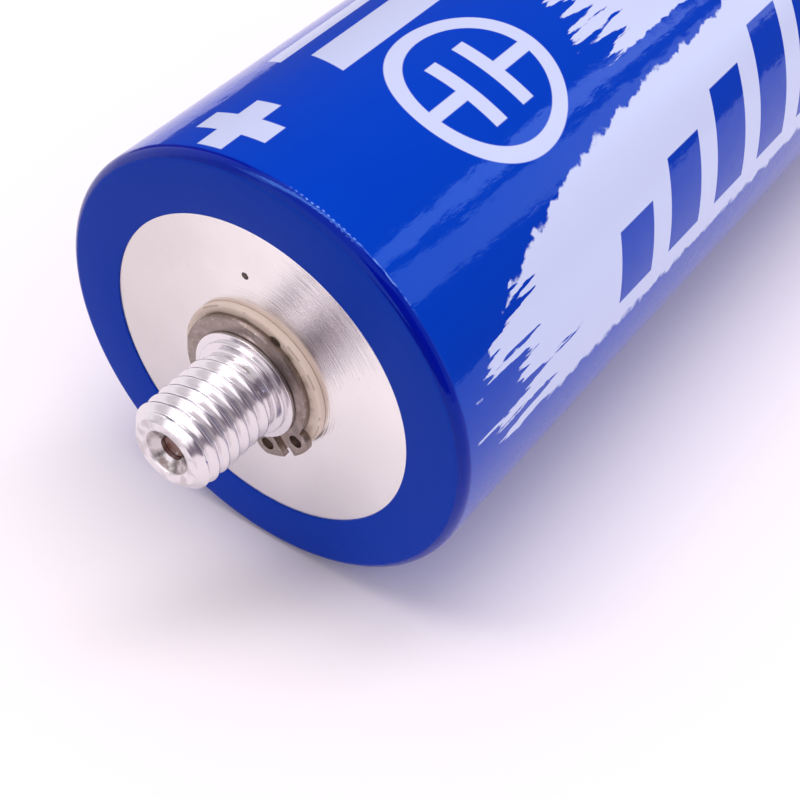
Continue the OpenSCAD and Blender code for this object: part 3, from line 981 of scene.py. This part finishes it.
def shrunk_sleeve():
    """A closed skin of film, folded over both rims."""
    outer_round = CAN_ROUND + SLEEVE_WALL
    section = rounded([(0, LIP_R), (SLEEVE_START, LIP_R), (SLEEVE_START, CELL_R, outer_round),
                       (SLEEVE_END, CELL_R, outer_round), (SLEEVE_END, LIP_R), (CAN_LEN, LIP_R),
                       (CAN_LEN, CAN_R, CAN_ROUND), (0, CAN_R, CAN_ROUND), (0, LIP_R)], FILM_EDGE)
    return turn_piece("printed_sleeve", section, FILM, SLEEVE_SEGMENTS)


sleeve = shrunk_sleeve()

# %% Turn the filling plug
PLUG_START, PLUG_END = ends_of("fill_plug")
PLUG_ROUND = 0.2
PLUG_SEGMENTS = 48

plug_section = rounded([(PLUG_START, 0), (PLUG_START, PLUG_R, PLUG_ROUND),
                        (PLUG_END, PLUG_R, PLUG_ROUND), (PLUG_END, 0)], CUT_EDGE)
plug = turn_piece("resin_plug", plug_section, PLUG_RESIN, PLUG_SEGMENTS)

# %% [markdown]
# ## The ring and the outer bushing
# The retaining ring was stamped and the bushing was moulded, so neither is
# round all over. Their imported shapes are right, apart from edges that are too
# sharp. A copy of each gets its flat faces merged and its edges bevelled.

# %% Soften the edges of a copy
FLAT_WITHIN = math.radians(0.5)


def softened(name, node, finish, width, steps):
    """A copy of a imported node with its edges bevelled."""
    mesh = nodes[node].data.copy()
    mesh.name = name
    shape = bmesh.new()
    shape.from_mesh(mesh)
    bmesh.ops.remove_doubles(shape, verts=shape.verts, dist=WELD)
    bmesh.ops.dissolve_limit(shape, angle_limit=FLAT_WITHIN, verts=shape.verts, edges=shape.edges)
    shape.to_mesh(mesh)
    shape.free()
    mesh.materials.clear()
    mesh.materials.append(finish)
    piece = show(name, mesh)
    bevel = piece.modifiers.new("edges", "BEVEL")
    bevel.width = width * MM
    bevel.segments = steps
    bevel.limit_method = "ANGLE"
    bevel.angle_limit = SHARP_FROM
    piece.data = bpy.data.meshes.new_from_object(
        piece.evaluated_get(bpy.context.evaluated_depsgraph_get()))
    piece.modifiers.clear()
    piece.data.shade_smooth()
    piece.data.set_sharp_from_angle(angle=SHARP_FROM)
    print(f"{name}: {len(piece.data.polygons)} faces")
    return piece


ring = softened("spring_ring", "retaining_ring", RING_STEEL, width=0.07, steps=2)
bushing = softened("moulded_bushing", "outer_bushing", BUSHING_PLASTIC, width=0.12, steps=3)

# %% [markdown]
# ## Which piece stands for which node
# Six nodes now have a finer piece, and each such node is hidden.
# The other eight keep their imported mesh and only get their finish. Nothing on
# the cell moves, so every piece rides on its one body.

# %% Attach each piece and hide the node it stands for
for piece, node, slot in ((sleeve, "sleeve", "sleeve"), (can, "can", "can"),
                          (terminal, "positive_terminal", "terminal"), (plug, "fill_plug", "plug"),
                          (ring, "retaining_ring", "ring"), (bushing, "outer_bushing", "bushing")):
    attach(piece, "root")
    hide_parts(node)

for node, finish in (("cover", COVER_METAL), ("inner_bushing", BUSHING_PLASTIC),
                     ("terminal_seal", SEAL_RUBBER), ("positive_insulator", INSULATOR_PLASTIC),
                     ("positive_collector", COLLECTOR_METAL), ("wound_core", CORE_FOIL),
                     ("core_wrap", WRAP_FILM), ("negative_collector", COLLECTOR_METAL)):
    for material_slot in nodes[node].material_slots:
        material_slot.material = finish
print("every node has a finish")

# %% [markdown]
# ## The stage
# A pale table top with the light of a plain white room. The cell is glossy, so
# what it reflects matters as much as what lights it: one large soft lamp
# overhead, pale walls behind, and a dark side where the viewer stands. The room
# is two functions of direction in the world's tree: a simple one that lights
# matt surfaces, and a detailed one that gloss and metal show. What stands round
# the cell is placed in metres.

# %% The table top
LEFT, RIGHT, FRONT, BACK = -0.2, 0.9, -0.27, 0.9
TOP_Z = -0.02 * MM
NEAR_FADE, FAR_FADE = 0.065, 0.6
PAPER = (0.96, 0.90, 0.915, 1)
PAPER_CLOUDS, CLOUDS_OVER = (0.97, 0.92, 0.935, 1), 60.0
FIBRE, FIBRE_HEIGHT = 0.6, 0.004
WHITE = (1, 1, 1, 1)


def pale_paper():
    """Matt off-white paper that is seen to fade to plain white before its edges."""
    paper = Finish("pale_paper")
    colour = paper.blend(paper.noise(CLOUDS_OVER), PAPER, PAPER_CLOUDS)
    matt = paper.principled(base_color=colour, roughness=0.7, specular_ior_level=0.2,
                            normal=paper.bumped(paper.noise(FIBRE) * FIBRE_HEIGHT))
    x, y, _ = paper.parts(paper.place)
    inner = paper.fade(x, LEFT, LEFT + NEAR_FADE) * (1 - paper.fade(x, RIGHT - FAR_FADE, RIGHT))
    inner = inner * paper.fade(y, FRONT, FRONT + NEAR_FADE) * (1 - paper.fade(y, BACK - FAR_FADE, BACK))
    outer = (1 - inner) * paper.node("ShaderNodeLightPath", output="Is Camera Ray")
    white = paper.node("ShaderNodeEmission", inputs={"Color": WHITE, "Strength": 1.0})
    return paper.ended(paper.node("ShaderNodeMixShader", inputs={0: outer, 1: matt, 2: white}))


def table_top():
    """A pale plane whose front edge lies just before the cell."""
    corners = [(LEFT, FRONT, TOP_Z), (RIGHT, FRONT, TOP_Z), (RIGHT, BACK, TOP_Z), (LEFT, BACK, TOP_Z)]
    mesh = bpy.data.meshes.new("table_top")
    mesh.from_pydata(corners, [], [(0, 1, 2, 3)])
    mesh.materials.append(pale_paper())
    return show("table_top", mesh)


table_top()
print(f"table top: {RIGHT - LEFT:.2f} by {BACK - FRONT:.2f} m")

# %% Masks over the directions round the cell
DEGREES = 180 / math.pi
LIGHT = (1.0, 0.96, 1.0, 1)
STRIP_AZIMUTH = math.radians(-42)


class Directions(Tree):
    """The world's tree, with masks over directions. Angles are in degrees."""

    def __init__(self, world):
        world.use_nodes = True
        super().__init__(world.node_tree)
        self.group.nodes.clear()
        self.x, self.y, self.z = self.parts(self.node("ShaderNodeTexCoord", output="Generated"))
        self.flat = self.hypot(self.x, self.y)
        self.height = self.maths("ARCTAN2", self.z, self.flat) * DEGREES

    def towards(self, azimuth, reach, soft):
        """1 within `reach` of an azimuth, which is measured from +X to +Y."""
        angle = math.radians(azimuth)
        likeness = (self.x * math.cos(angle) + self.y * math.sin(angle)) / self.flat
        apart = self.maths("ARCCOSINE", self.least(likeness, 1.0)) * DEGREES
        return 1 - self.fade(apart, reach - soft, reach + soft)

    def above(self, limit, soft):
        """1 where a direction rises higher than the limit."""
        return self.fade(self.height, limit - soft, limit + soft)

    def below(self, limit, soft):
        """1 where a direction stays lower than the limit."""
        return 1 - self.above(limit, soft)

    def between(self, angle, low, high):
        """1 from one limit to the other, with edges one degree soft."""
        return self.fade(angle, low - 1, low + 1) * (1 - self.fade(angle, high - 1, high + 1))

    def overhead(self, start, end, half_width):
        """A strip over the cell, from `start` to `end` past the zenith."""
        across = self.y * math.cos(STRIP_AZIMUTH) - self.x * math.sin(STRIP_AZIMUTH)
        along = self.x * math.cos(STRIP_AZIMUTH) + self.y * math.sin(STRIP_AZIMUTH)
        reach = self.between(self.maths("ARCTAN2", along, self.z) * DEGREES, start, end)
        limit = math.sin(math.radians(half_width))
        return reach * (1 - self.fade(self.size_of(across), limit * 0.9, limit * 1.1))

    def lit(self, level, mask, wanted):
        """Moves the level to the wanted one where the mask is 1."""
        return level + mask * (wanted - level)

    def sky(self, level, colour=LIGHT):
        """A background of one colour and a level that may vary."""
        return self.node("ShaderNodeBackground", inputs={"Color": colour, "Strength": level})


# %% [markdown]
# A side of the room is written as its azimuth, half its width and how soft its
# edges are. A height is written as its angle and how soft it is. Each side has a
# level of light, where 1 is as bright as white paper.

# %% What stands round the cell
VIEWER_SIDE, VIEWER_TOP, VIEWER_LEVEL = (-131, 26, 4), (43, 2), 0.17
CLOTHES = (1.0, 0.75, 1.05, 1)
NEAR_LEVEL, FAR_SIDE, FAR_LEVEL = 0.4, (0, 90, 8), 0.14
CEILING, CEILING_LEVEL = (60, 4), 1.25
WALLS = (((-105, 45, 5), (40, 5), 0.7), ((108, 29, 4), (60, 5), 1.1),
         ((138, 12, 4), (60, 5), 0.8), ((176, 28, 4), (60, 5), 1.55))
UPPER_SIDE, UPPER_FROM, UPPER_LEVEL = (-162, 82, 4), (40, 4), 1.0
FLOOR_SIDE, FLOOR_TOP, FLOOR_LEVEL = (-150, 32, 5), (0, 1), 0.25
STRIP, STRIP_LEVEL = (-50, -30, 7), 3.0
PANES_SIDE, PANES_LEVEL = (-40, 14, 2), 2.6
PANES_SLANT = 40.0
# Where each pane starts and ends on its slant, and its share of the panes' level
PANES = ((14.4, 32.5, 0.65), (39.0, 49.7, 0.95))
DIM_LEVEL, LIT_SIDE, LIT_LEVEL = 0.44, (-32, 105, 45), 1.06
HIGH, HIGH_LEVEL = (50, 8), 0.62


class Room(Directions):
    """The two functions of direction that light the cell."""

    def slanted_panes(self):
        """Two bright panes at the front right, cut on a slant."""
        slant = self.height + self.maths("ARCTAN2", self.y, self.x) * DEGREES + PANES_SLANT
        panes = 0.0
        for low, high, share in PANES:
            panes = self.between(slant, low, high) * share + panes
        return panes * self.towards(*PANES_SIDE)

    def ambient(self):
        """What lights the table and the matt pieces: little from the viewer's side."""
        level = self.lit(DIM_LEVEL, self.towards(*LIT_SIDE), LIT_LEVEL)
        return self.lit(level, self.above(*HIGH), self.most(level, HIGH_LEVEL))

    def viewer(self):
        """Where the one who looks stands in the light, in dark clothes."""
        return self.towards(*VIEWER_SIDE) * self.below(*VIEWER_TOP)

    def reflected(self):
        """What gloss and metal show besides: pale walls, a dark viewer, bright panes."""
        level = self.lit(NEAR_LEVEL, self.towards(*FAR_SIDE), FAR_LEVEL)
        level = self.lit(level, self.above(*CEILING), CEILING_LEVEL)
        for side, top, wanted in WALLS:
            level = self.lit(level, self.towards(*side) * self.below(*top), wanted)
        level = self.lit(level, self.towards(*UPPER_SIDE) * self.above(*UPPER_FROM), UPPER_LEVEL)
        level = self.lit(level, self.viewer(), VIEWER_LEVEL)
        level = self.lit(level, self.towards(*FLOOR_SIDE) * self.below(*FLOOR_TOP), FLOOR_LEVEL)
        level = self.lit(level, self.overhead(*STRIP), STRIP_LEVEL)
        return self.lit(level, self.slanted_panes(), PANES_LEVEL)

    def finish(self):
        """Plain white where it is seen, and the room's light elsewhere."""
        gloss = self.node("ShaderNodeLightPath", output="Is Glossy Ray")
        seen = self.most(self.node("ShaderNodeLightPath", output="Is Camera Ray"),
                         self.node("ShaderNodeLightPath", output="Is Transmission Ray"))
        mirrored = self.sky(self.reflected(), self.blend(self.viewer(), LIGHT, CLOTHES))
        unseen = self.node("ShaderNodeMixShader", inputs={
            0: gloss, 1: self.sky(self.ambient()), 2: mirrored})
        both = self.node("ShaderNodeMixShader", inputs={0: seen, 1: unseen, 2: self.sky(1.0, WHITE)})
        self.node("ShaderNodeOutputWorld", inputs={"Surface": both})


world = bpy.data.worlds.new("room")
Room(world).finish()
bpy.context.scene.world = world
print("the room's tree has", len(world.node_tree.nodes), "nodes")

# %% [markdown]
# One soft strip of a lamp hangs almost straight over the cell. It is small
# against its height, so the cell's shadow stays close to the cell and is deepest
# where the two meet, and it draws a narrow highlight round the folded rim.

# %% The lamp overhead
LAMP_RADIANCE = 5.3
LAMP_PLACE = (-0.05, 0.045, 0.9)
LAMP_SIZE = (1.1, 0.22)


def overhead_lamp():
    """A soft rectangle whose power keeps its radiance when its size is changed."""
    lamp = bpy.data.lights.new("overhead_lamp", "AREA")
    lamp.shape = "RECTANGLE"
    lamp.size, lamp.size_y = LAMP_SIZE
    lamp.energy = LAMP_RADIANCE * math.pi * lamp.size * lamp.size_y
    lamp.color = LIGHT[:3]
    holder = bpy.data.objects.new("overhead_lamp", lamp)
    holder.location = LAMP_PLACE
    holder.rotation_euler = (0, 0, STRIP_AZIMUTH)
    bpy.context.scene.collection.objects.link(holder)
    return holder


print(f"lamp: {overhead_lamp().data.energy:.1f} watts")

# %% [markdown]
# The camera looks down at the positive end through a fairly long lens. From
# there the terminal, the folded rim and the printed side are all in sight, and
# the far end stays out of the frame.

# %% The camera
CAMERA_PLACE = (-0.16854, -0.0933, 0.15891)
CAMERA_AZIMUTH = -54.16
CAMERA_ELEVATION = 44.46
CAMERA_LENS = 69.66
CAMERA_CLIP = 0.01

camera = bpy.data.objects.new("camera", bpy.data.cameras.new("camera"))
camera.data.lens = CAMERA_LENS
camera.data.clip_start = CAMERA_CLIP
camera.location = CAMERA_PLACE
camera.rotation_euler = (math.radians(90 - CAMERA_ELEVATION), 0, math.radians(CAMERA_AZIMUTH))
bpy.context.scene.collection.objects.link(camera)
bpy.context.scene.camera = camera
bpy.context.scene.view_settings.view_transform = "Standard"
